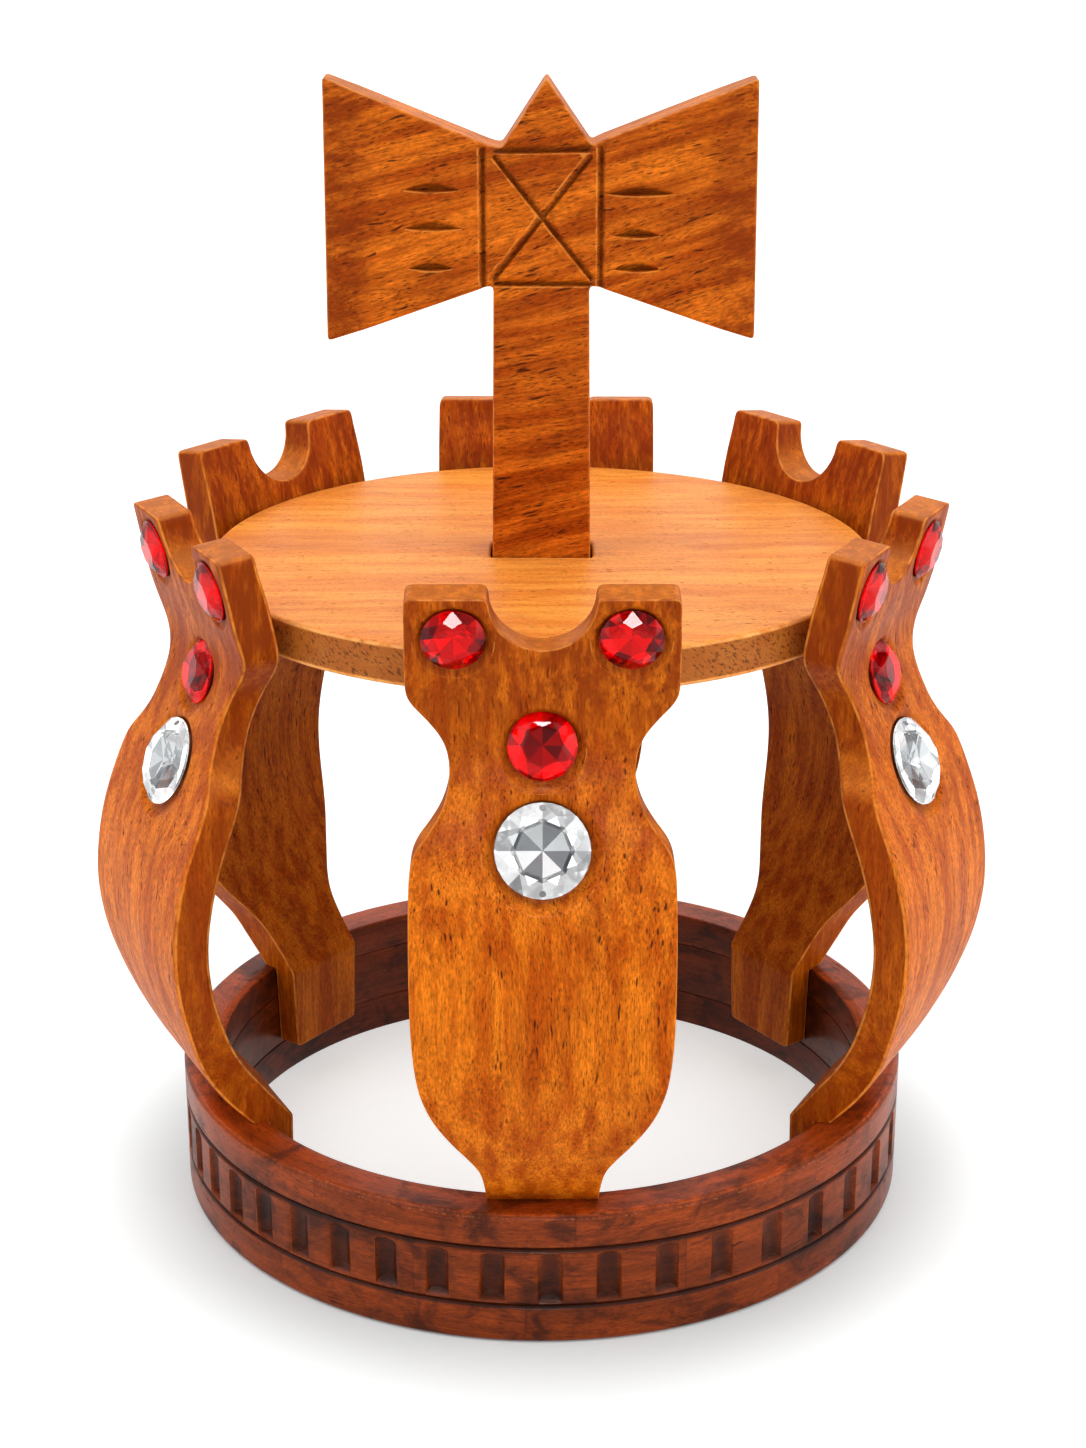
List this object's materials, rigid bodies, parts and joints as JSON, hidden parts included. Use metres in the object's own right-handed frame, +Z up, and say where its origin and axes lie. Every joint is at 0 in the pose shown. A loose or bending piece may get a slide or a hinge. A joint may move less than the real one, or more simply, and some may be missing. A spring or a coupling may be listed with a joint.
{
  "type": "wooden crown",
  "caption": "Carved wooden crown: a fluted headband, curved arms set with faceted red and clear stones, a round top board and a double axe on a post.",
  "frame": {"origin": "on the table under the middle of the crown, at the centre of its box's underside", "axes": "+Z up, along the axe's post; the crown's front faces -Y and its right, as seen from the front, is +X"},
  "size_m": [0.2591, 0.2566, 0.3296],
  "materials": {
    "headband_wood": "dark red-brown hardwood, satin varnish",
    "arm_wood": "orange-brown wood with short dark pores, satin varnish",
    "board_wood": "honey-coloured wood, satin varnish",
    "axe_wood": "orange-brown wood, carved and varnished",
    "red_stone": "foil-backed cut stone, red",
    "clear_stone": "foil-backed cut stone, clear"
  },
  "bodies": {
    "root": {"lower_ring": "headband_wood", "fluted_ring": "headband_wood", "upper_ring": "headband_wood", "top_board": "board_wood", "double_axe": "axe_wood", "arm_front": "arm_wood", "arm_right_front": "arm_wood", "arm_right_back": "arm_wood", "arm_back": "arm_wood", "arm_left_back": "arm_wood", "arm_left_front": "arm_wood", "front_ear_left_stone": "red_stone", "front_ear_right_stone": "red_stone", "front_middle_stone": "red_stone", "front_clear_stone": "clear_stone", "right_front_ear_left_stone": "red_stone", "right_front_ear_right_stone": "red_stone", "right_front_middle_stone": "red_stone", "right_front_clear_stone": "clear_stone", "right_back_ear_left_stone": "red_stone", "right_back_ear_right_stone": "red_stone", "right_back_middle_stone": "red_stone", "right_back_clear_stone": "clear_stone", "back_ear_left_stone": "red_stone", "back_ear_right_stone": "red_stone", "back_middle_stone": "red_stone", "back_clear_stone": "clear_stone", "left_back_ear_left_stone": "red_stone", "left_back_ear_right_stone": "red_stone", "left_back_middle_stone": "red_stone", "left_back_clear_stone": "clear_stone", "left_front_ear_left_stone": "red_stone", "left_front_ear_right_stone": "red_stone", "left_front_middle_stone": "red_stone", "left_front_clear_stone": "clear_stone"}
  },
  "joints": []
}
